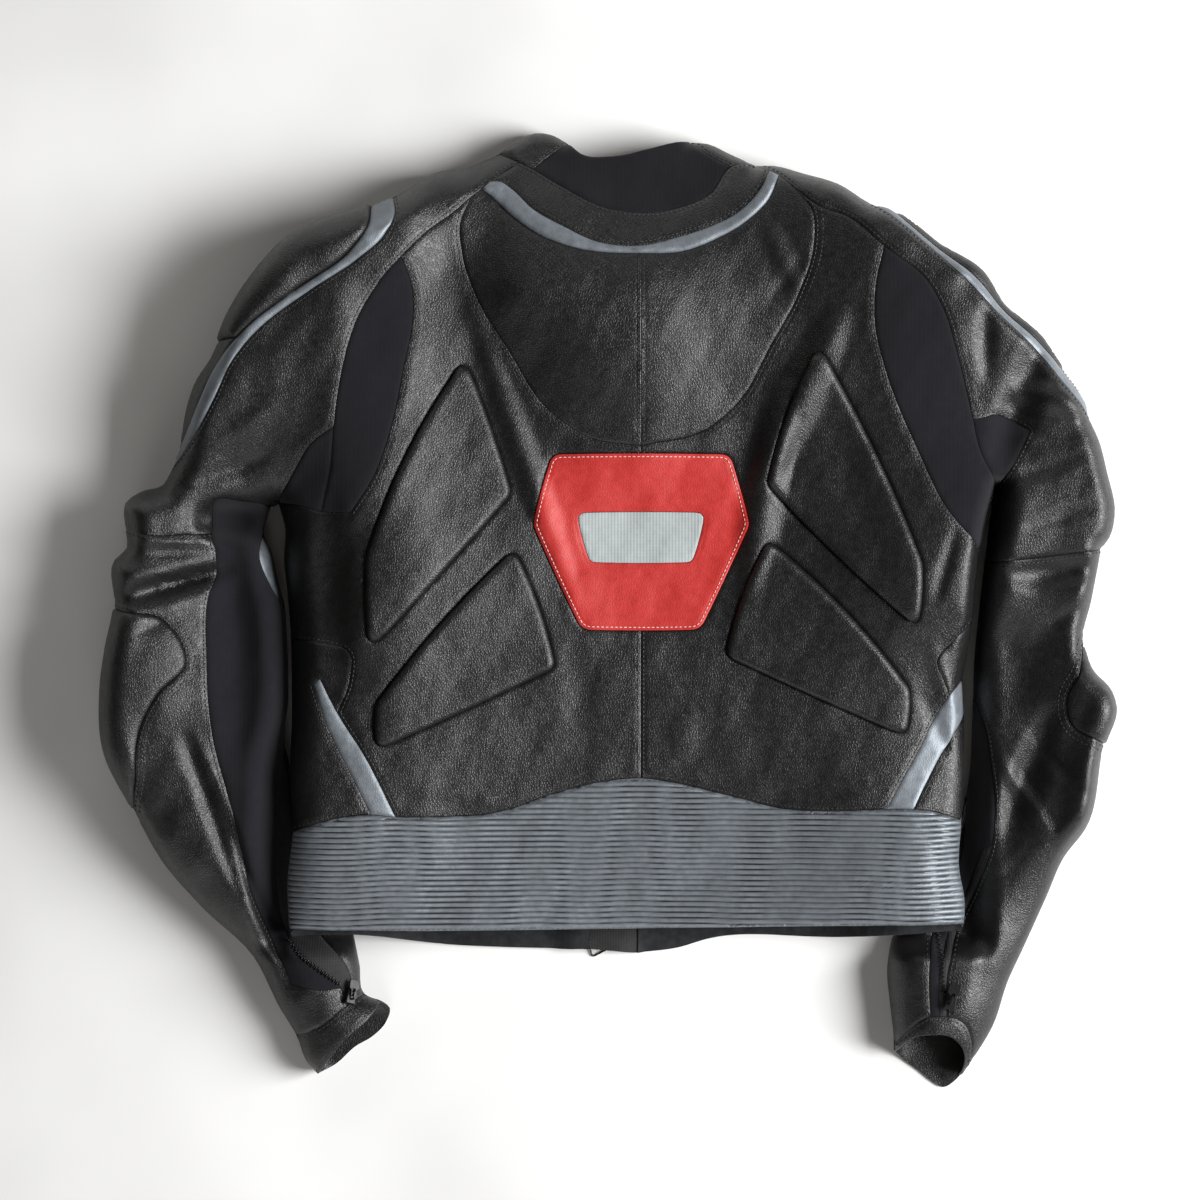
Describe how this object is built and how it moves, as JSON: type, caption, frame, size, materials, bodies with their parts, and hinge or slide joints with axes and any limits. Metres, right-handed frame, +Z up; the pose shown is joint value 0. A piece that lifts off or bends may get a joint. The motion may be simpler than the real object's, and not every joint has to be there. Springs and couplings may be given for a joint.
{
  "type": "leather racing jacket",
  "caption": "Leather racing jacket lying face down: curved sleeves, foam-backed back pads, silver trim, a ribbed waistband, cuff zips and a red back plate with a grey bar.",
  "frame": {"origin": "centre of the jacket's bounding box in plan, on the surface it lies on", "axes": "+Z up out of the back, +Y towards the collar, +X towards the right of the picture"},
  "size_m": [0.7536, 0.7138, 0.082],
  "materials": {
    "black_leather": "grained, semi-gloss",
    "silver_leather": "smooth metallic-grey sheen",
    "red_leather": "grained, semi-gloss",
    "grey_fabric": "matt",
    "stretch_fabric": "ribbed, matt",
    "hem_pile": "short pile, matt",
    "zip_tape": "woven, matt",
    "zip_metal": "dark nickel"
  },
  "bodies": {
    "jacket": {"yoke_left": "black_leather", "yoke_right": "black_leather", "back_left": "black_leather", "back_right": "black_leather", "leaf_left": "stretch_fabric", "leaf_right": "stretch_fabric", "gusset_left": "stretch_fabric", "gusset_right": "stretch_fabric", "side_left": "black_leather", "flank_right": "black_leather", "side_right": "black_leather", "stripe_left": "silver_leather", "stripe_right": "silver_leather", "waistband": "silver_leather", "collar_stand": "black_leather", "collar_roll": "silver_leather", "collar_stretch": "stretch_fabric", "collar_tab_left": "black_leather", "collar_tab_right": "black_leather", "sleeve_head_left": "black_leather", "shoulder_strip_left": "silver_leather", "shoulder_cap_left": "black_leather", "arm_side_left": "black_leather", "forearm_left": "black_leather", "elbow_left": "black_leather", "sleeve_stretch_left": "stretch_fabric", "sleeve_flash_left": "silver_leather", "cuff_zip_tape_left": "zip_tape", "sleeve_inner_left": "black_leather", "cuff_left": "black_leather", "sleeve_head_right": "black_leather", "shoulder_strip_right": "silver_leather", "shoulder_cap_right": "black_leather", "forearm_right": "black_leather", "elbow_right": "black_leather", "sleeve_stretch_right": "stretch_fabric", "cuff_zip_tape_right": "zip_tape", "sleeve_inner_right": "black_leather", "cuff_right": "black_leather", "front_left": "black_leather", "front_right": "black_leather", "front_hem_left": "hem_pile", "front_hem_right": "hem_pile", "front_zip_tape": "zip_tape", "collar_front_left": "black_leather", "collar_front_right": "black_leather", "under_sleeve_left": "black_leather", "under_sleeve_right": "black_leather", "pad_upper_left": "black_leather", "pad_lower_left": "black_leather", "pad_upper_right": "black_leather", "pad_lower_right": "black_leather", "back_plate": "red_leather", "cuff_slider_left": "zip_metal", "cuff_slider_right": "zip_metal", "front_slider": "zip_metal", "plate_bar": "grey_fabric"},
    "cuff_pull_left": {"cuff_pull_left": "zip_metal"},
    "cuff_pull_right": {"cuff_pull_right": "zip_metal"},
    "front_pull": {"front_pull": "zip_metal"}
  },
  "joints": [
    {"name": "cuff_pull_left_hinge", "type": "hinge", "parent": "jacket", "child": "cuff_pull_left", "pos_m": [-0.18872, -0.28489, 0.03761], "axis": [0.7804, -0.2536, -0.5715], "range_deg": [0, 110]},
    {"name": "cuff_pull_right_hinge", "type": "hinge", "parent": "jacket", "child": "cuff_pull_right", "pos_m": [0.25425, -0.2873, 0.05312], "axis": [0.9703, -0.2419, 0.0005], "range_deg": [0, 110]},
    {"name": "front_pull_hinge", "type": "hinge", "parent": "jacket", "child": "front_pull", "pos_m": [-0.00879, -0.24389, 0.0017], "axis": [-0.8886, -0.4586, 0], "range_deg": [0, 10]}
  ]
}
